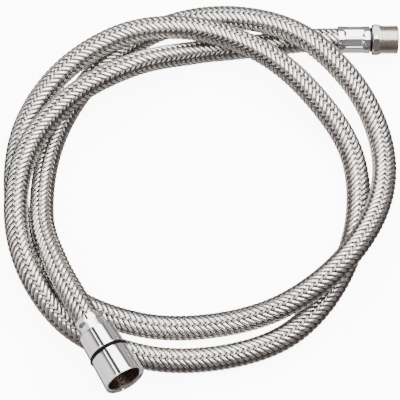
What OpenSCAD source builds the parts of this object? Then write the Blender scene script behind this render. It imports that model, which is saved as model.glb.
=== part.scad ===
// Braided bath-sprayer hose, 14 mm, about 1.6 m, lying in two and a bit turns.
// Male supply fitting at one end, cone nut with a turning slip bush at the other.
// Millimetres.  Origin: under the middle of the two end fittings, on the floor.
// +X points out of the male thread, +Z is up.

/* [Hose] */
// Outside diameter over the braid
hose_d = 14; // [13.6:0.1:14]
// Thickness of the braid seen as a plain sleeve
braid_t = 0.4; // [0.3:0.05:0.6]
// Bore of the water tube
tube_bore = 8; // [7.8:0.1:9]

/* [Ferrules] */
// Outside diameter of both crimped ferrules
ferrule_d = 15.8; // [15.6:0.1:16]
// Diameter of the ferrules across the waist
waist_d = 15.2; // [15.0:0.1:15.6]
// Length of each ferrule
ferrule_l = 18.5; // [18:0.5:19]
// Depth of the pressed flats in a ferrule
press_depth = 0.25; // [0.1:0.05:0.35]

/* [Supply nipple] */
// Hexagon across flats
hex_af = 17; // [16.5:0.1:17.2]
// Hexagon length
hex_l = 4.2; // [3.6:0.1:4.2]
// Major diameter of the male pipe thread
thread_d = 16.66; // [16.4:0.02:16.8]
// Pitch of the male pipe thread
thread_pitch = 1.337; // [1.2:0.001:1.5]

/* [Cone nut] */
// Outside diameter at the mouth
nut_mouth_d = 23; // [22.6:0.1:24]
// Outside diameter at the back
nut_back_d = 20.5; // [20.3:0.1:21]
// Minor diameter of the female pipe thread
nut_minor_d = 18.63; // [18.5:0.01:18.8]
// Length of the female thread from the mouth
nut_thread_l = 9.5; // [9:0.1:9.5]
// Bore through the back of the nut
nut_bore_d = 16.5; // [16.4:0.05:16.6]

/* [Grip ring] */
// Thickness of the O-ring
ring_t = 2; // [1.8:0.1:2.1]

/* [Water way] */
// Bore through both fittings
water_bore = 5.5; // [4.5:0.1:5.8]

/* [Hidden] */
// half of the hose diameter, the water tube just inside the braid
hose_r = hose_d / 2;
tube_r = hose_r - braid_t;
// the ferrule's bore, a hair over the crimped hose
ferrule_bore_r = hose_r + 0.02;

// Centre line of the hose from the supply ferrule to the spray ferrule.
// Each entry is [x, y, height above lying flat on the floor].
route = [
    [70, 107, 2], [56, 107, 2], [38, 107, 1], [17, 105, 0],
    [-5, 102, 0.5], [-27, 98, 3], [-61, 85, 13.5], [-95, 65, 14.6],
    [-119, 34, 14.6], [-126, -5, 14.8], [-117, -43, 13], [-93, -73, 6],
    [-54, -88, 0.8], [-13, -88, 0], [24, -75, 0], [50, -46, 0],
    [64, -7, 0], [62, 34, 1.2], [41, 67, 9], [12, 92, 14.6],
    [-26, 107, 15], [-66, 104, 15], [-101, 84, 9.5], [-123, 53, 2],
    [-128, 14, 0.3], [-119, -26, 0], [-94, -54, 0], [-56, -69, 0],
    [-17, -70, 1.5], [21, -62, 10.5], [54, -38, 15.5], [75, -3, 12.5],
    [79, 35, 6.5], [65, 71, 11.5], [36, 101, 15.8], [1, 117, 9.5],
    [-37, 118, 1.5], [-72, 99, 0], [-97, 67, 0], [-110, 32, 1],
    [-112, -8, 6.5], [-103, -38, 16], [-92, -60, 20.2], [-84, -74, 21.8],
    [-76, -88, 23.4]
];
// the sides of the swept hose and the rings to each piece of the route
sides = 12;
cuts = 2;

// the route as points in space, one more at each end in line with the last two
pts = [for (q = route) [q[0], q[1], 7 + q[2]]];
np = len(pts);
ext = concat([2 * pts[0] - pts[1]], pts, [2 * pts[np - 1] - pts[np - 2]]);

// a smooth curve through the points
function smooth(a, b, c, d, t) =
    0.5 * (2 * b + (c - a) * t + (2 * a - 5 * b + 4 * c - d) * t * t
        + (3 * b - 3 * c + d - a) * t * t * t);
line = concat(
    [for (i = [0:np - 2]) for (k = [0:cuts - 1])
        smooth(ext[i], ext[i + 1], ext[i + 2], ext[i + 3], k / cuts)],
    [pts[np - 1]]);
nl = len(line);
function unit(v) = v / norm(v);
function along(i) = unit(line[min(i + 1, nl - 1)] - line[max(i - 1, 0)]);
function left(i) = unit(cross([0, 0, 1], along(i)));
function over(i) = cross(along(i), left(i));
// one ring of the swept hose
function ring(i, r) = [for (k = [0:sides - 1])
    let (a = k * 360 / sides)
    line[i] + r * cos(a) * left(i) + r * sin(a) * over(i)];

// a closed tube with two radii swept along the centre line
module hose_tube(ro, ri) {
    outer = [for (i = [0:nl - 1]) each ring(i, ro)];
    inner = [for (i = [0:nl - 1]) each ring(i, ri)];
    n = nl * sides;
    last = (nl - 1) * sides;
    skin = [for (i = [0:nl - 2]) for (k = [0:sides - 1])
        let (a = i * sides + k, b = i * sides + (k + 1) % sides)
        each [[a, a + sides, b + sides], [a, b + sides, b]]];
    bore = [for (i = [0:nl - 2]) for (k = [0:sides - 1])
        let (a = n + i * sides + k, b = n + i * sides + (k + 1) % sides)
        each [[a, b + sides, a + sides], [a, b, b + sides]]];
    front = [for (k = [0:sides - 1])
        let (a = k, b = (k + 1) % sides)
        each [[a, b, n + b], [a, n + b, n + a]]];
    back = [for (k = [0:sides - 1])
        let (a = last + k, b = last + (k + 1) % sides)
        each [[a, n + b, b], [a, n + a, n + b]]];
    polyhedron(concat(outer, inner), concat(skin, bore, front, back));
}

// supply fitting: local z runs out of the male thread, 0 at the ferrule's mouth
supply_at = [56, 107, 9];
// spray fitting: local z runs out of the nut's mouth, 0 at the ferrule's mouth
spray_at = [-84, -74, 28.8];
spray_dir = [8, -14, 1.6];
spray_yaw = atan2(spray_dir[1], spray_dir[0]);
spray_tilt = acos(spray_dir[2] / norm(spray_dir));
// the nut's mouth, measured from the ferrule's mouth
nut_l = 32;
mouth_z = 41.5;

module at_supply() {
    translate(supply_at) rotate([0, 90, 0]) children();
}

module at_spray() {
    translate(spray_at) rotate([0, spray_tilt, spray_yaw]) children();
}

// a crimped ferrule: rounded ends, a slight waist, eight pressed flats
module ferrule() {
    r = ferrule_d / 2;
    w = waist_d / 2;
    difference() {
        rotate_extrude($fn = 96)
            polygon([[ferrule_bore_r, 0], [r - 0.4, 0], [r, 0.5], [r, 2.6],
                [w, 4], [w, ferrule_l - 4], [r, ferrule_l - 2.6],
                [r, ferrule_l - 0.5], [r - 0.4, ferrule_l],
                [water_bore / 2 + 0.6, ferrule_l],
                [water_bore / 2 + 0.6, ferrule_l - 1.4],
                [ferrule_bore_r, ferrule_l - 1.4]]);
        for (k = [0:7])
            rotate([0, 0, k * 45])
                translate([w - press_depth + 1, 0, ferrule_l / 2])
                    cube([2, 4.6, 10], center = true);
    }
}

module braided_sleeve() {
    color("silver") hose_tube(hose_r, tube_r);
}

module inner_tube() {
    color("dimgray") hose_tube(tube_r, tube_bore / 2);
}

module supply_ferrule() {
    color("gainsboro") at_supply() ferrule();
}

module supply_nipple() {
    neck_z = ferrule_l;
    hex_z = neck_z + 1.3;
    col_z = hex_z + hex_l;
    thr_z = col_z + 1;
    end_z = thr_z + 9.9;
    tr = thread_d / 2;
    core = tr - 0.64 * thread_pitch;
    turns = 6;
    color("lightgray") at_supply() {
        difference() {
            union() {
                // barbed tail and neck
                rotate_extrude($fn = 72)
                    polygon([[0, 2], [3.2, 2], [3.85, 4], [3.3, 4.2], [3.3, 6],
                        [3.85, 8], [3.3, 8.2], [3.3, 10], [3.85, 12],
                        [3.3, 12.2], [3.3, neck_z], [7, neck_z],
                        [7, hex_z + 0.1], [0, hex_z + 0.1]]);
                // hexagon with turned corners
                intersection() {
                    translate([0, 0, hex_z])
                        rotate([0, 0, 79.6])
                            cylinder(r = hex_af / 2 / cos(30), h = hex_l, $fn = 6);
                    translate([0, 0, hex_z])
                        rotate_extrude($fn = 96)
                            polygon([[0, 0], [8.5, 0], [9.3, 0.6],
                                [9.3, hex_l - 0.6], [8.5, hex_l], [0, hex_l]]);
                }
                // round collar, then the thread as turned grooves
                rotate_extrude($fn = 96)
                    polygon(concat([[0, col_z - 0.1], [8.45, col_z - 0.1],
                        [8.45, thr_z - 0.2], [core, thr_z]],
                        [for (i = [0:turns - 1]) for (k = [0:3])
                            [k == 1 || k == 2 ? tr : core,
                                thr_z + 0.7 + thread_pitch
                                    * (i + [0.1, 0.3, 0.7, 0.9][k])]],
                        [[core, end_z - 0.7], [core - 0.4, end_z], [0, end_z]]));
            }
            translate([0, 0, 1])
                cylinder(r = water_bore / 2, h = 50, $fn = 48);
            translate([0, 0, end_z - 8])
                cylinder(r = 6.1, h = 10, $fn = 72);
        }
    }
}

module spray_ferrule() {
    color("gainsboro") at_spray() ferrule();
}

module spray_tail() {
    // barbed tail, neck for the bush and the flange that holds the nut
    color("lightgray") at_spray()
        rotate_extrude($fn = 96)
            polygon([[water_bore / 2, 2], [3.2, 2], [3.85, 4], [3.3, 4.2],
                [3.3, 6], [3.85, 8], [3.3, 8.2], [3.3, 10], [3.85, 12],
                [3.3, 12.2], [3.3, ferrule_l], [6.5, ferrule_l],
                [6.5, mouth_z - 13.5], [9, mouth_z - 13.5],
                [9, mouth_z - 11.5], [water_bore / 2, mouth_z - 11.5]]);
}

module sealing_washer() {
    color("darkslategray") at_spray()
        translate([0, 0, mouth_z - 11.5])
            rotate_extrude($fn = 96)
                polygon([[5, 0], [9, 0], [9, 2], [5, 2]]);
}

module slip_bush() {
    // flange under the tail's flange, sleeve on the neck
    color("whitesmoke") at_spray()
        rotate_extrude($fn = 96)
            polygon([[6.55, ferrule_l + 0.4], [8.15, ferrule_l + 0.4],
                [8.15, mouth_z - 14.7], [9, mouth_z - 14.7],
                [9, mouth_z - 13.55], [6.55, mouth_z - 13.55]]);
}

module cone_nut() {
    ro = nut_mouth_d / 2;
    rb = nut_back_d / 2;
    back = mouth_z - nut_l;
    m = nut_minor_d / 2;
    ringz = back + 14;
    slope = (ro - rb) / nut_l;
    rring = rb + slope * 14;
    g = ring_t / 2;
    color("silver") at_spray()
        rotate_extrude($fn = 128)
            polygon([[nut_bore_d / 2, back + 0.3], [nut_bore_d / 2 + 0.3, back],
                [rb - 0.5, back], [rb, back + 0.5],
                [rring - slope * g, ringz - g], [9.5, ringz - g],
                [9.5, ringz + g], [rring + slope * g, ringz + g],
                [ro, mouth_z - 0.3], [ro - 0.3, mouth_z],
                [ro - 0.8, mouth_z], [ro - 1.2, mouth_z - 0.8],
                [m + 0.4, mouth_z - 0.8], [m, mouth_z - 1.2],
                [m, mouth_z - nut_thread_l + 0.2], [9.6, mouth_z - nut_thread_l],
                [9.6, mouth_z - 14.75], [nut_bore_d / 2, mouth_z - 14.75]]);
}

module grip_ring() {
    color([0.1, 0.09, 0.09]) at_spray()
        translate([0, 0, mouth_z - nut_l + 14])
            rotate_extrude($fn = 96)
                translate([9.4 + ring_t / 2, 0])
                    circle(r = ring_t / 2, $fn = 24);
}

braided_sleeve();
inner_tube();
supply_ferrule();
supply_nipple();
spray_ferrule();
spray_tail();
sealing_washer();
slip_bush();
cone_nut();
grip_ring();
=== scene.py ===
import math

import bpy
import numpy as np
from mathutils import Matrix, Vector


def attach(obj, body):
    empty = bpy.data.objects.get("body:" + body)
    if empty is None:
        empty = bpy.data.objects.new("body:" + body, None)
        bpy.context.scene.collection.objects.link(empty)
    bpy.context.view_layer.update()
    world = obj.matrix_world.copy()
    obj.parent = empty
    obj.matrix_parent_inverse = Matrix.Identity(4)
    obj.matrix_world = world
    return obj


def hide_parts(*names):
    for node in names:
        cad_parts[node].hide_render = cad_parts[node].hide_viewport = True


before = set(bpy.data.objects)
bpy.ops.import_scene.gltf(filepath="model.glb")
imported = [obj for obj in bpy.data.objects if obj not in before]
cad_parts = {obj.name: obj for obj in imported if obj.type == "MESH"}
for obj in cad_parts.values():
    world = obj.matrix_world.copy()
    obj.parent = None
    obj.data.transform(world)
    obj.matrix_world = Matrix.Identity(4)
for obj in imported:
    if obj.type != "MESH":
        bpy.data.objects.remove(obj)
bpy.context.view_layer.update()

# A coiled, wire-braided sprayer hose on a white floor. Metres, except where a name or a
# comment says mm: the route and the profiles of the fittings are in mm.

# ---------------------------------------------------------------- camera
CAMERA_LENS = 187.6                       # mm
CAMERA_AT = (-0.024, -0.4709, 1.078)
CAMERA_TILT = math.radians(24)            # away from straight down

camera_data = bpy.data.cameras.new("Camera")
camera = bpy.data.objects.new("Camera", camera_data)
bpy.context.scene.collection.objects.link(camera)
camera_data.lens = CAMERA_LENS
camera_data.sensor_width = 36
camera_data.clip_start = 0.05
camera_data.clip_end = 20
camera.location = CAMERA_AT
camera.rotation_euler = (CAMERA_TILT, 0, 0)
bpy.context.scene.camera = camera


# ---------------------------------------------------------------- mesh helpers
def add_mesh(name, verts, faces, uv=None):
    """A smooth mesh of verts (n, 3) and quads (m, 4); uv is one pair for each vertex."""
    mesh = bpy.data.meshes.new(name)
    n_faces = len(faces)
    mesh.vertices.add(len(verts))
    mesh.vertices.foreach_set("co", np.asarray(verts, np.float32).ravel())
    mesh.loops.add(n_faces * 4)
    mesh.loops.foreach_set("vertex_index", np.asarray(faces, np.int32).ravel())
    mesh.polygons.add(n_faces)
    mesh.polygons.foreach_set("loop_start", np.arange(0, n_faces * 4, 4, dtype=np.int32))
    mesh.polygons.foreach_set("loop_total", np.full(n_faces, 4, np.int32))
    mesh.update(calc_edges=True)
    if uv is not None:
        layer = mesh.uv_layers.new(name="UVMap")
        layer.data.foreach_set("uv", np.asarray(uv, np.float32)[np.asarray(faces).ravel()].ravel())
    mesh.validate()
    mesh.polygons.foreach_set("use_smooth", [True] * len(mesh.polygons))
    ob = bpy.data.objects.new(name, mesh)
    bpy.context.scene.collection.objects.link(ob)
    return ob


def grid_faces(rows, cols, wrap, start=0):
    """Quads of a rows x cols grid of vertices; wrap joins the last column to the first."""
    quad_cols = cols if wrap else cols - 1
    i, k = np.meshgrid(np.arange(rows - 1), np.arange(quad_cols), indexing="ij")
    here = i * cols + k
    beside = i * cols + (k + 1) % cols
    return np.stack([here, beside, beside + cols, here + cols], -1).reshape(-1, 4) + start


# ---------------------------------------------------------------- hose line
HOSE_R = 7                # mm
# the middle of the hose from the supply end to the spray end: x, y and the height of its
# underside above the floor, in mm, the same points as in the CAD
ROUTE = [
    (70, 107, 2), (56, 107, 2), (38, 107, 1), (17, 105, 0), (-5, 102, 0.5),
    (-27, 98, 3), (-61, 85, 13.5), (-95, 65, 14.6), (-119, 34, 14.6),
    (-126, -5, 14.8), (-117, -43, 13), (-93, -73, 6), (-54, -88, 0.8),
    (-13, -88, 0), (24, -75, 0), (50, -46, 0), (64, -7, 0), (62, 34, 1.2),
    (41, 67, 9), (12, 92, 14.6), (-26, 107, 15), (-66, 104, 15),
    (-101, 84, 9.5), (-123, 53, 2), (-128, 14, 0.3), (-119, -26, 0),
    (-94, -54, 0), (-56, -69, 0), (-17, -70, 1.5), (21, -62, 10.5),
    (54, -38, 15.5), (75, -3, 12.5), (79, 35, 6.5), (65, 71, 11.5),
    (36, 101, 15.8), (1, 117, 9.5), (-37, 118, 1.5), (-72, 99, 0),
    (-97, 67, 0), (-110, 32, 1), (-112, -8, 6.5), (-103, -38, 16),
    (-92, -60, 20.2), (-84, -74, 21.8), (-76, -88, 23.4),
]
KNOTS = np.array([(x, y, HOSE_R + h) for x, y, h in ROUTE], float) / 1000
KNOTS = np.vstack([2 * KNOTS[0] - KNOTS[1], KNOTS, 2 * KNOTS[-1] - KNOTS[-2]])


def hose_line(step):
    """The smooth line through the route, cut into equal steps.

    Gives, for each point: how far along it is, where it is, and the directions
    forward, left and up.
    """
    stretches = []
    t = np.linspace(0, 1, 60, endpoint=False)[:, None]
    for i in range(1, len(KNOTS) - 2):
        a, b, c, d = KNOTS[i - 1:i + 3]
        stretches.append(0.5 * (2 * b + (c - a) * t + (2 * a - 5 * b + 4 * c - d) * t**2
                                + (3 * b - 3 * c + d - a) * t**3))
    stretches.append(KNOTS[-2][None])
    dense = np.vstack(stretches)
    dense_s = np.concatenate([[0], np.cumsum(np.linalg.norm(np.diff(dense, axis=0), axis=1))])
    s = np.linspace(0, dense_s[-1], int(round(dense_s[-1] / step)) + 1)
    points = np.stack([np.interp(s, dense_s, dense[:, j]) for j in range(3)], 1)
    slope = np.gradient(points, axis=0)
    for _ in range(3):
        slope[1:-1] = (slope[:-2] + 2 * slope[1:-1] + slope[2:]) / 4
    forward = slope / np.linalg.norm(slope, axis=1)[:, None]
    left = np.cross((0, 0, 1.0), forward)
    left /= np.linalg.norm(left, axis=1)[:, None]
    return s, points, forward, left, np.cross(forward, left)


S, X, FORWARD, LEFT, UP = hose_line(0.0005)
LENGTH = S[-1]


def around(s, th, r):
    """Points on the hose: s along it, th round it (0 at its left, 90 deg on top), r out."""
    place = np.clip(s / LENGTH, 0, 1) * (len(S) - 1)
    i = np.minimum(place.astype(int), len(S) - 2)
    w = (place - i)[..., None]
    middle = X[i] * (1 - w) + X[i + 1] * w
    left = LEFT[i] * (1 - w) + LEFT[i + 1] * w
    up = UP[i] * (1 - w) + UP[i + 1] * w
    past_end = np.maximum(s - LENGTH, 0) + np.minimum(s, 0)
    middle = middle + FORWARD[i] * past_end[..., None]
    return middle + (np.cos(th) * r)[..., None] * left + (np.sin(th) * r)[..., None] * up


# ---------------------------------------------------------------- liner: a round cord along the hose line
LINER_R = 0.0061
LINER_POINTS = 640

liner_curve = bpy.data.curves.new("hose_liner", "CURVE")
liner_curve.dimensions = "3D"
liner_curve.bevel_depth = LINER_R
liner_curve.bevel_resolution = 4
liner_curve.use_fill_caps = True
liner_spline = liner_curve.splines.new("POLY")
keep = np.linspace(0, len(S) - 1, LINER_POINTS).round().astype(int)
liner_spline.points.add(len(keep) - 1)
liner_spline.points.foreach_set("co", np.hstack([X[keep], np.ones((len(keep), 1))]).ravel())
liner = bpy.data.objects.new("hose_liner", liner_curve)
bpy.context.scene.collection.objects.link(liner)

# ---------------------------------------------------------------- braid
TURN = 0.0384            # one turn of a bundle along the hose
STEPS = 48               # points along a bundle in one turn
CARRIERS = 12            # bundles each way
R_MID = 0.00650          # middle of the weave
WAVE = 0.00026           # how far a bundle rises over and dips under the others
STEEP = 1.7              # how quickly it passes from over to under
HALF_W = 0.00103         # half the width of a bundle
PROUD = 0.42             # the right-hand bundles stay on top for longer than the left-hand ones
PHASE = 0.125            # of an over-and-under, sets where the crossings fall in it
END_GAP = 0.0005         # the weave stops this far from each end of the hose
WANDER = 0.00006         # how far a bundle strays to its sides
WANDER_STEP = 0.006      # along the hose, between two strays
BETA = math.atan(2 * math.pi * R_MID / TURN)
# A bundle meets 2 * CARRIERS others in a turn, and each over-and-under takes four.
WEAVES = CARRIERS / 2
# steps in the UV map from bundle to bundle, so that no two share their noise
UV_ALONG = 300
UV_ACROSS = 4
# the section of a bundle: across it (-1 to 1), and up
PROFILE = [(-1.0, -0.00030), (-0.80, -0.00006), (-0.45, 0.00014), (0.0, 0.00020),
           (0.45, 0.00014), (0.80, -0.00006), (1.0, -0.00030)]
rng = np.random.default_rng(11)


def braid(name, sign, bundles):
    """Flat wire bundles winding one way, two over and two under the other way.

    The UV map runs along a bundle (1 for each over-and-under, over at whole
    numbers) and across it (the fraction of V).
    """
    s = np.arange(END_GAP, LENGTH - END_GAP, TURN / STEPS)
    strays = np.arange(0, LENGTH + WANDER_STEP, WANDER_STEP)
    size = len(s) * len(PROFILE)
    verts, uvs, faces = [], [], []
    for b in bundles:
        th = 2 * math.pi * b / CARRIERS + sign * 2 * math.pi * s / TURN
        wander = WANDER * np.interp(s, strays, rng.normal(size=len(strays)))
        turns = WEAVES * th / (2 * math.pi) - PHASE + (0 if sign > 0 else 0.5)
        lift = np.tanh(STEEP * (np.cos(2 * math.pi * turns) + sign * PROUD))
        v = np.zeros((len(s), len(PROFILE), 3))
        uv = np.zeros((len(s), len(PROFILE), 2))
        for j, (w, h) in enumerate(PROFILE):
            off = w * HALF_W + wander
            along = s - sign * math.sin(BETA) * off
            v[:, j] = around(along, th + math.cos(BETA) * off / R_MID, R_MID + WAVE * lift + h)
            uv[:, j, 0] = turns + UV_ALONG * b
            uv[:, j, 1] = 0.5 + 0.5 * w + UV_ACROSS * b + (0 if sign > 0 else UV_ACROSS / 2)
        faces.append(grid_faces(len(s), len(PROFILE), False, start=len(verts) * size))
        verts.append(v.reshape(-1, 3))
        uvs.append(uv.reshape(-1, 2))
    return add_mesh(name, np.vstack(verts), np.vstack(faces), np.vstack(uvs))


HALF = CARRIERS // 2
weave = [
    braid("braid_right_a", 1, range(0, HALF)), braid("braid_right_b", 1, range(HALF, CARRIERS)),
    braid("braid_left_a", -1, range(0, HALF)), braid("braid_left_b", -1, range(HALF, CARRIERS)),
]


# ---------------------------------------------------------------- turning the fittings
def basis(origin, direction):
    """A fitting's own axes: where its z is 0, and the directions of z, x and y."""
    d = Vector(direction).normalized()
    side = Vector((0, 0, 1)).cross(d).normalized()
    up = d.cross(side)
    return np.array(origin, float), np.array(d), np.array(side), np.array(up)


# the mouths of the two ferrules
SUPPLY = basis((0.056, 0.107, 0.009), (1, 0, 0))
SPRAY = basis((-0.084, -0.074, 0.0288), (8, -14, 1.6))


def lathe(name, at, prof, seg=128, radius=None, close=False):
    """Turns prof, a list of (r, z) in mm, about the fitting's axis.

    radius(r, z, angle) gives new radii, for what isn't round. close joins the end of the
    profile to its start.
    """
    origin, along, side, up = at
    prof = np.array(prof, float)
    r = np.repeat(prof[:, :1], seg, 1)
    z = np.repeat(prof[:, 1:], seg, 1)
    angle = np.repeat(np.linspace(0, 2 * math.pi, seg, endpoint=False)[None], len(prof), 0)
    if radius is not None:
        r = radius(r, z, angle)
    verts = (origin + (z / 1000)[..., None] * along + (r * np.cos(angle) / 1000)[..., None] * side
             + (r * np.sin(angle) / 1000)[..., None] * up)
    uv = np.stack([angle / (2 * math.pi), z / 10], -1)
    faces = grid_faces(len(prof), seg, True)
    if close:
        first = np.arange(seg)
        after = (first + 1) % seg
        last = (len(prof) - 1) * seg
        faces = np.vstack([faces, np.stack([last + first, last + after, after, first], -1)])
    return add_mesh(name, verts.reshape(-1, 3), faces, uv.reshape(-1, 2))


def refine(prof, step):
    """Adds points along a profile, so that a change of radius round it has points to follow."""
    out = [prof[0]]
    for (r0, z0), (r1, z1) in zip(prof, prof[1:]):
        n = max(1, int(math.hypot(r1 - r0, z1 - z0) / step))
        out += [(r0 + (r1 - r0) * k / n, z0 + (z1 - z0) * k / n) for k in range(1, n + 1)]
    return out


def soft(prof, rad, n=4):
    """Rounds each corner of a profile."""
    out = [prof[0]]
    for a, b, c in zip(prof, prof[1:], prof[2:]):
        a, b, c = map(np.array, (a, b, c))
        la, lc = np.linalg.norm(a - b), np.linalg.norm(c - b)
        k = min(rad, la * 0.45, lc * 0.45)
        p, q = b + (a - b) / la * k, b + (c - b) / lc * k
        out += [tuple((1 - t) ** 2 * p + 2 * t * (1 - t) * b + t * t * q) for t in np.linspace(0, 1, n)]
    return out + [prof[-1]]


# ---------------------------------------------------------------- ferrules (mm)
FERRULE_L = 18.5
FERRULE_R = 7.9
WAIST_R = 7.68             # between its two rims
FLOOR_R = 7.03             # the pressed flats' distance from the axis
POCKET_END = 3.3           # from the ferrule's end to where a flat starts
POCKET_SLOPE = 1.5
WATER_R = 2.75             # the water way, in both fittings
TAIL_R = 3.3               # outside of the barbed tails
TAIL_HOLE_R = 3.35         # in the ferrule's end


def crimp(r, z, angle):
    """Eight flat pockets pressed into the outside of a ferrule, one of them on top."""
    sector = math.pi / 4
    near = (angle + sector / 2) % sector - sector / 2
    floor = FLOOR_R / np.cos(near)
    ends = np.clip(np.minimum(z - POCKET_END, FERRULE_L - POCKET_END - z) / POCKET_SLOPE, 0, 1)
    sides = np.clip((2.55 - np.abs(near) * 7.6) / 0.35, 0, 1)
    return np.where(r > 7.2, r - (r - floor) * ends * sides, r)


def ferrule(name, at):
    prof = [(7.02, 2.0), (7.02, 0.0), (FERRULE_R, 0.0), (FERRULE_R, 2.4), (WAIST_R, 3.6),
            (WAIST_R, FERRULE_L - 3.6), (FERRULE_R, FERRULE_L - 2.4), (FERRULE_R, FERRULE_L),
            (TAIL_HOLE_R, FERRULE_L)]
    return lathe(name, at, refine(soft(prof, 0.35), 0.15), 320, crimp)


supply_ferrule = ferrule("ferrule_supply", SUPPLY)
spray_ferrule = ferrule("ferrule_spray", SPRAY)

# ---------------------------------------------------------------- supply nipple (mm)
NECK_Z = FERRULE_L
HEX_Z = NECK_Z + 1.3
COLLAR_Z = HEX_Z + 4.2
THREAD_Z = COLLAR_Z + 1.0
END_Z = THREAD_Z + 9.9
HEX_FLAT_R = 8.5           # half of 17 mm across flats
HEX_CORNER_R = 9.3
HEX_TURN = math.radians(79.6)
MALE_R = 8.33              # major radius, G3/8
MALE_PITCH = 1.337
MALE_DEPTH = 0.7
MALE_STEP = 0.05           # between two points along the thread
LEAD_L = 0.8               # the taper at the thread's end
BORE_R = 6.1               # in the nipple's end
BORE_L = 8


def hexagon(r, z, angle):
    sector = math.pi / 3
    near = (angle - HEX_TURN + sector / 2) % sector - sector / 2
    return np.where(r > 7.5, np.minimum(r, HEX_FLAT_R / np.cos(near)), r)


def male(r, z, angle):
    """A right-hand V thread that runs out at both ends, with a tapered start."""
    phase = ((z - THREAD_Z) / MALE_PITCH - angle / (2 * math.pi)) % 1.0
    from_root = np.abs(phase - 0.5) * 2
    depth = np.clip((from_root - 0.40) / 0.45, 0, 1) * MALE_DEPTH
    fade = np.clip((END_Z - 0.35 - z) / 0.9, 0, 1) * np.clip((z - THREAD_Z + 0.1) / 0.5, 0, 1)
    lead = np.clip((z - (END_Z - LEAD_L)) / LEAD_L, 0, 1)
    cut = MALE_R - depth * fade - 0.55 * lead
    return np.where((r > 8.0) & (z >= THREAD_Z + 0.02), cut, r)


hex_prof = soft([(6.9, HEX_Z), (8.55, HEX_Z), (HEX_CORNER_R, HEX_Z + 0.7), (HEX_CORNER_R, COLLAR_Z - 0.7),
                 (8.55, COLLAR_Z), (8.3, COLLAR_Z)], 0.12)
hexnut = lathe("nipple_hexagon", SUPPLY, refine(hex_prof, 0.2), 360, hexagon)

collar_prof = [(8.45, COLLAR_Z), (8.45, THREAD_Z - 0.25), (8.4, THREAD_Z)]
crest_prof = [(MALE_R, THREAD_Z + MALE_STEP * k) for k in range(1, 198)]
bore_prof = [(7.75, END_Z - 0.02), (7.6, END_Z), (6.3, END_Z), (BORE_R, END_Z - 0.2),
             (BORE_R, END_Z - BORE_L), (WATER_R, END_Z - BORE_L), (WATER_R, 2)]
thread = lathe("nipple_thread", SUPPLY, collar_prof + crest_prof + bore_prof, 160, male)

neck_prof = [(TAIL_R, NECK_Z), (7.0, NECK_Z), (7.0, HEX_Z), (6.5, HEX_Z)]
neck = lathe("nipple_neck", SUPPLY, soft(neck_prof, 0.1), 96)

# ---------------------------------------------------------------- cone nut and what it holds (mm)
MOUTH_Z = 41.5             # from the ferrule's mouth to the nut's
NUT_L = 32
BACK_Z = MOUTH_Z - NUT_L
NUT_BACK_R = 10.25
NUT_FLARE = 1.25           # how much wider the nut is at its mouth
NUT_BORE_R = 8.25          # its back bore
SHOULDER_Z = MOUTH_Z - 14.75
RELIEF_R = 9.6             # behind the thread
FEMALE_R = 9.315           # minor radius, G1/2
FEMALE_PITCH = 1.814
FEMALE_DEPTH = 0.75
FEMALE_L = 9.6
GROOVE_R = 9.5
GROOVE_BACK_Z = BACK_Z + 12.95
GROOVE_FRONT_Z = BACK_Z + 15.05
RING_R = 10.4              # middle of the O-ring's section, which has a radius of 1
RING_Z = BACK_Z + 14
NECK_R = 6.5               # the tail's neck, in the bush
BUSH_R = 6.55              # bore of the bush
FLANGE_R = 9               # of the tail, the bush and the washer
FLANGE_Z = MOUTH_Z - 13.5
FACE_Z = MOUTH_Z - 11.5    # the tail's end, where the washer lies
WASHER_Z = MOUTH_Z - 9.5
WASHER_HOLE_R = 5


def cone_r(z):
    return NUT_BACK_R + NUT_FLARE * (z - BACK_Z) / NUT_L


def female(r, z, angle):
    """A V thread cut into the nut's mouth, which runs out at both ends. It winds left-handed."""
    phase = ((z - MOUTH_Z) / FEMALE_PITCH + angle / (2 * math.pi)) % 1.0
    from_root = np.abs(phase - 0.5) * 2
    fade = np.clip((MOUTH_Z - 1.0 - z) / 0.8, 0, 1) * np.clip((z - MOUTH_Z + FEMALE_L) / 0.6, 0, 1)
    inner = (r < 9.7) & (z > MOUTH_Z - FEMALE_L)
    return np.where(inner, r + np.clip((from_root - 0.2) / 0.6, 0, 1) * FEMALE_DEPTH * fade, r)


nut_out = soft([(NUT_BORE_R, SHOULDER_Z), (NUT_BORE_R, BACK_Z), (cone_r(BACK_Z), BACK_Z),
                (cone_r(GROOVE_BACK_Z), GROOVE_BACK_Z), (GROOVE_R, GROOVE_BACK_Z),
                (GROOVE_R, GROOVE_FRONT_Z), (cone_r(GROOVE_FRONT_Z), GROOVE_FRONT_Z),
                (cone_r(MOUTH_Z), MOUTH_Z), (10.7, MOUTH_Z), (10.3, MOUTH_Z - 0.8),
                (9.75, MOUTH_Z - 0.8), (FEMALE_R, MOUTH_Z - 1.2)], 0.22, 5)
nut_in = [(FEMALE_R, MOUTH_Z - 1.2)]
nut_in += [(FEMALE_R, z) for z in np.arange(MOUTH_Z - 1.25, MOUTH_Z - 9.35, -0.09)]
nut_in += [(RELIEF_R, MOUTH_Z - 9.5), (RELIEF_R, SHOULDER_Z), (8.3, SHOULDER_Z)]
nut = lathe("cone_nut_body", SPRAY, refine(nut_out, 0.8), 192)
nut_inside = lathe("cone_nut_thread", SPRAY, nut_in, 192, female)

ring_prof = [(RING_R + math.cos(t), RING_Z + math.sin(t)) for t in np.linspace(0, 2 * math.pi, 25)[:-1]]
ring = lathe("grip_oring", SPRAY, ring_prof, 160, close=True)

bush_prof = [(BUSH_R, FERRULE_L + 0.4), (8.15, FERRULE_L + 0.4), (8.15, MOUTH_Z - 14.7),
             (FLANGE_R, MOUTH_Z - 14.7), (FLANGE_R, MOUTH_Z - 13.55), (BUSH_R, MOUTH_Z - 13.55)]
bush = lathe("bush", SPRAY, soft(bush_prof, 0.15), close=True)

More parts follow.
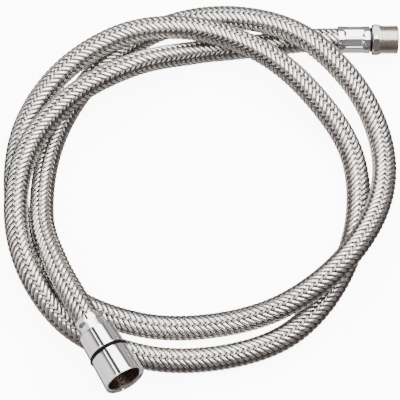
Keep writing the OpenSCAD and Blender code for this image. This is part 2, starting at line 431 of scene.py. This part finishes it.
tail_prof = [(WATER_R, 2), (TAIL_R, 2), (TAIL_R, FERRULE_L), (NECK_R, FERRULE_L), (NECK_R, FLANGE_Z),
             (FLANGE_R, FLANGE_Z), (FLANGE_R, FACE_Z), (WATER_R, FACE_Z), (WATER_R, 2)]
tail = lathe("tail", SPRAY, soft(tail_prof, 0.12))

washer_prof = [(WASHER_HOLE_R, FACE_Z), (FLANGE_R, FACE_Z), (FLANGE_R, WASHER_Z), (WASHER_HOLE_R, WASHER_Z),
               (WASHER_HOLE_R, FACE_Z)]
washer = lathe("washer", SPRAY, soft(washer_prof, 0.3))


# ---------------------------------------------------------------- materials
class Mat:
    """A material on one Principled shader, with short names for the nodes used here."""

    def __init__(self, name):
        self.material = bpy.data.materials.new(name)
        self.material.use_nodes = True
        self.tree = self.material.node_tree
        self.inputs = self.tree.nodes["Principled BSDF"].inputs

    def link(self, a, b):
        self.tree.links.new(a, b)

    def math(self, op, a, b=None, c=None):
        node = self.tree.nodes.new("ShaderNodeMath")
        node.operation = op
        for k, value in enumerate((a, b, c)):
            if value is None:
                continue
            if isinstance(value, (int, float)):
                node.inputs[k].default_value = value
            else:
                self.link(value, node.inputs[k])
        return node.outputs[0]

    def noise(self, scale, detail, place=None):
        if place is None:
            place = self.tree.nodes.new("ShaderNodeTexCoord").outputs["Object"]
        node = self.tree.nodes.new("ShaderNodeTexNoise")
        node.inputs["Scale"].default_value = scale
        node.inputs["Detail"].default_value = detail
        self.link(place, node.inputs["Vector"])
        return node.outputs["Fac"]

    def ramp(self, value, stops):
        node = self.tree.nodes.new("ShaderNodeValToRGB")
        for element, (position, color) in zip(node.color_ramp.elements, stops):
            element.position = position
            element.color = (*color, 1)
        self.link(value, node.inputs[0])
        return node.outputs[0]

    def times(self, a, b):
        node = self.tree.nodes.new("ShaderNodeMix")
        node.data_type = "RGBA"
        node.blend_type = "MULTIPLY"
        node.inputs["Factor"].default_value = 1.0
        self.link(a, node.inputs["A"])
        self.link(b, node.inputs["B"])
        return node.outputs["Result"]

    def bump(self, height, strength, distance):
        node = self.tree.nodes.new("ShaderNodeBump")
        node.inputs["Strength"].default_value = strength
        node.inputs["Distance"].default_value = distance
        self.link(height, node.inputs["Height"])
        self.link(node.outputs[0], self.inputs["Normal"])

    def grainy(self, color, dim, rough, spread, grain, bump, bump_distance):
        """A colour down to dim of itself, with roughness and bump from the same grain."""
        fac = self.noise(grain, 4)
        dark = tuple(c * dim for c in color)
        self.link(self.ramp(fac, [(0.3, dark), (0.7, color)]), self.inputs["Base Color"])
        self.link(self.math("MULTIPLY_ADD", fac, spread, rough - spread / 2), self.inputs["Roughness"])
        self.bump(fac, bump, bump_distance)


def metal(name, color, rough, spread, grain, bump):
    m = Mat(name)
    m.inputs["Metallic"].default_value = 1.0
    m.grainy(color, 0.96, rough, spread, grain, bump, 0.0001)
    return m.material


def plain(name, color, rough, shine=0.5):
    """Rubber or plastic."""
    m = Mat(name)
    m.inputs["Specular IOR Level"].default_value = shine
    m.grainy(color, 0.8, rough, 0.1, 400, 0.05, 0.0002)
    return m.material


WHITE = (1, 1, 1)
WIRES = 5.0                # wires side by side in a bundle
# painted shade: the wire's colour where a bundle dives under the others
UNDER_SHADE = (0.20, 0.17, 0.165)
# painted shade: the wire's colour along the edges where two bundles meet
EDGE_SHADE = (0.30, 0.27, 0.26)
# painted shade: the wire's colour in the grooves between the wires of a bundle
GAP_SHADE = (0.60, 0.58, 0.57)


def braid_mat(name, dark, light, proud):
    """Bright drawn wire, with painted shade where bundles meet, between its wires and where they dive
    under.
    """
    m = Mat(name)
    m.inputs["Metallic"].default_value = 1.0
    uv_map = m.tree.nodes.new("ShaderNodeUVMap")
    uv_map.uv_map = "UVMap"
    uv = m.tree.nodes.new("ShaderNodeSeparateXYZ")
    m.link(uv_map.outputs[0], uv.inputs[0])
    u, v = uv.outputs[0], uv.outputs[1]
    wire = m.math("MULTIPLY", v, WIRES)
    across = m.math("SUBTRACT", m.math("MULTIPLY", m.math("FRACT", wire), 2.0), 1.0)
    dome = m.math("SQRT", m.math("SUBTRACT", 1.02, m.math("MULTIPLY", across, across)))
    # tone changes from wire to wire and along each bundle
    place = m.tree.nodes.new("ShaderNodeCombineXYZ")
    m.link(m.math("MULTIPLY", u, 1.3), place.inputs[0])
    m.link(m.math("MULTIPLY", m.math("FLOOR", wire), 3.1), place.inputs[1])
    tone = m.noise(1.0, 2.0, place.outputs[0])
    color = m.ramp(tone, [(0.3, dark), (0.7, light)])
    # 1 on top of the weave, less where the bundle is underneath, with painted shade in these dips
    over = m.math("COSINE", m.math("MULTIPLY", u, 2 * math.pi))
    over = m.math("MULTIPLY_ADD", over, 0.5, 0.5 + 0.5 * proud)
    over = m.ramp(over, [(0.26, UNDER_SHADE), (0.56, WHITE)])
    # painted shade along the edges of a bundle, where it meets the next
    edge_shade = m.math("ABSOLUTE", m.math("MULTIPLY_ADD", m.math("FRACT", v), 2.0, -1.0))
    edge_shade = m.ramp(edge_shade, [(0.84, WHITE), (1.0, EDGE_SHADE)])
    # painted shade in the grooves between the wires
    gap_shade = m.ramp(dome, [(0.1, GAP_SHADE), (0.45, WHITE)])
    color = m.times(m.times(color, gap_shade), m.times(over, edge_shade))
    m.link(color, m.inputs["Base Color"])
    m.link(m.math("MULTIPLY_ADD", tone, 0.10, 0.15), m.inputs["Roughness"])
    m.bump(dome, 0.35, 0.00006)
    return m.material


# the two ways of bundles are lit and shaded copies of one steel: the left-hand ones are painted darker as
# shade
wire_right = braid_mat("steel_wire_right", (0.62, 0.61, 0.58), (1.0, 0.99, 0.95), PROUD)
shaded_wire_left = braid_mat("steel_wire_left_painted_shade", (0.20, 0.185, 0.175), (0.50, 0.475, 0.455), -PROUD)
chrome = metal("chrome", (0.88, 0.88, 0.89), 0.06, spread=0.02, grain=500, bump=0.01)
nickel = metal("nickel_thread", (0.64, 0.60, 0.53), 0.24, spread=0.08, grain=1500, bump=0.05)
hexmet = metal("nickel_hexagon", (0.74, 0.70, 0.66), 0.16, spread=0.06, grain=700, bump=0.03)
dark_neck = metal("neck_metal", (0.035, 0.030, 0.028), 0.45, spread=0.08, grain=900, bump=0.05)
brass = metal("tail_brass", (0.45, 0.36, 0.24), 0.3, spread=0.1, grain=900, bump=0.05)
inner_brass = metal("nut_thread_brass", (0.19, 0.14, 0.11), 0.28, spread=0.1, grain=900, bump=0.05)
rubber = plain("ring_rubber", (0.006, 0.004, 0.004), 0.5, shine=0.06)
gasket = plain("washer_rubber", (0.03, 0.028, 0.028), 0.6)
nylon = plain("bush_nylon", (0.75, 0.74, 0.70), 0.4)
black = plain("liner_rubber", (0.02, 0.018, 0.017), 0.5)


def paint(obs, mat):
    for o in obs:
        o.data.materials.clear()
        o.data.materials.append(mat)


paint(weave[:2], wire_right)
paint(weave[2:], shaded_wire_left)
paint([liner], black)
paint([supply_ferrule, spray_ferrule, nut], chrome)
paint([hexnut], hexmet)
paint([thread], nickel)
paint([nut_inside], inner_brass)
paint([neck], dark_neck)
paint([tail], brass)
paint([washer], gasket)
paint([bush], nylon)
paint([ring], rubber)

# ---------------------------------------------------------------- riding, and hiding the CAD parts that these stand in for
for o in weave + [liner, supply_ferrule, spray_ferrule, hexnut, thread, neck, tail, washer]:
    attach(o, "hose")
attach(bush, "bush")
for o in (nut, nut_inside, ring):
    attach(o, "nut")
for o in weave:
    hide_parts("braided_sleeve")
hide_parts("inner_tube")
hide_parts("supply_ferrule")
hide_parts("spray_ferrule")
for o in (hexnut, thread, neck):
    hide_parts("supply_nipple")
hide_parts("spray_tail")
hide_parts("sealing_washer")
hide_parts("slip_bush")
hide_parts("cone_nut")
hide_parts("cone_nut")
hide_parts("grip_ring")

# ---------------------------------------------------------------- studio: floor, key and card
FLOOR_HALF = 3
FLOOR_Z = -0.0005          # just under the part's underside
FLOOR_GLOW = 9.0
KEY_AT = (0.0, 0.52, 1.25)
KEY_AIM = (0.0, 0.52, 0)
KEY_SIZE = (2.2, 2.0)
KEY_POWER = 100
CARD_Z = 1.2
# a black card overhead, which the nut and the ferrules mirror as dark lines
CARD = [(-1.16, 0.76), (-0.78, 0.95), (-0.16, -0.08), (-0.54, -0.27)]

floor_me = add_mesh("floor", [(FLOOR_HALF * x, FLOOR_HALF * y, FLOOR_Z)
                              for x, y in ((-1, -1), (1, -1), (1, 1), (-1, 1))], [[0, 1, 2, 3]])
white = Mat("floor_white")
white.inputs["Base Color"].default_value = (0.93, 0.93, 0.93, 1)
white.inputs["Roughness"].default_value = 0.9
white.inputs["Specular IOR Level"].default_value = 0.1
white.inputs["Emission Color"].default_value = (1, 1, 1, 1)
white.inputs["Emission Strength"].default_value = FLOOR_GLOW
paint([floor_me], white.material)
# out of the chrome's mirror, which would otherwise show only white
floor_me.visible_glossy = False

key_data = bpy.data.lights.new("key", "AREA")
key_data.energy = KEY_POWER
key_data.shape = "RECTANGLE"
key_data.size, key_data.size_y = KEY_SIZE
key = bpy.data.objects.new("key", key_data)
key.location = KEY_AT
key.rotation_euler = (Vector(KEY_AIM) - Vector(KEY_AT)).to_track_quat("-Z", "Y").to_euler()
bpy.context.scene.collection.objects.link(key)

strip = add_mesh("dark_strip", [(x, y, CARD_Z) for x, y in CARD], [[0, 1, 2, 3]])
card_black = Mat("card_black")
card_black.inputs["Base Color"].default_value = (0.01, 0.01, 0.01, 1)
paint([strip], card_black.material)

# ---------------------------------------------------------------- studio: surroundings
world = bpy.data.worlds.new("World")
bpy.context.scene.world = world
world.use_nodes = True
sky = world.node_tree


def sky_math(op, a, b):
    node = sky.nodes.new("ShaderNodeMath")
    node.operation = op
    for k, value in enumerate((a, b)):
        if isinstance(value, (int, float)):
            node.inputs[k].default_value = value
        else:
            sky.links.new(value, node.inputs[k])
    return node.outputs[0]


def sky_range(value, start, end, low, high):
    """low where value is at start, high where it is at end, and smooth between."""
    node = sky.nodes.new("ShaderNodeMapRange")
    node.interpolation_type = "SMOOTHSTEP"
    for name, number in (("From Min", start), ("From Max", end), ("To Min", low), ("To Max", high)):
        node.inputs[name].default_value = number
    sky.links.new(value, node.inputs["Value"])
    return node.outputs[0]


way = sky.nodes.new("ShaderNodeTexCoord").outputs["Generated"]
split = sky.nodes.new("ShaderNodeSeparateXYZ")
sky.links.new(way, split.inputs[0])
way_x, way_y, way_z = split.outputs
patches = sky.nodes.new("ShaderNodeTexNoise")
patches.inputs["Scale"].default_value = 7.0
patches.inputs["Detail"].default_value = 2.0
sky.links.new(way, patches.inputs["Vector"])
uneven = patches.outputs["Fac"]

# a dim and uneven room, darker below the horizon and brighter at the back
room = sky_math("MULTIPLY", sky_range(way_z, -0.1, 0.15, 0.13, 0.26),
                sky_range(uneven, 0.35, 0.65, 0.55, 1.6))
back = sky_math("MULTIPLY", sky_range(way_y, 0.45, 0.62, 0.0, 0.24),
                sky_range(uneven, 0.4, 0.6, 0.3, 1.2))
# one bright wall at -X
from_wall = sky_math("ABSOLUTE", sky_math("ADD", way_y, 0.06), 0)
wall = sky_math("MULTIPLY", sky_range(way_x, -0.55, -0.75, 0.0, 1.3),
                sky_range(from_wall, 0.26, 0.18, 0.0, 1.0))
# a glow low down in front
front = sky_math("MULTIPLY", sky_range(way_z, -0.45, -0.7, 0.0, 0.55),
                 sky_range(way_y, 0.0, -0.2, 0.0, 1.0))
light = sky_math("ADD", sky_math("ADD", sky_math("ADD", room, back), front), wall)
sky.nodes["Background"].inputs["Color"].default_value = (1, 0.93, 0.92, 1)
sky.links.new(light, sky.nodes["Background"].inputs["Strength"])
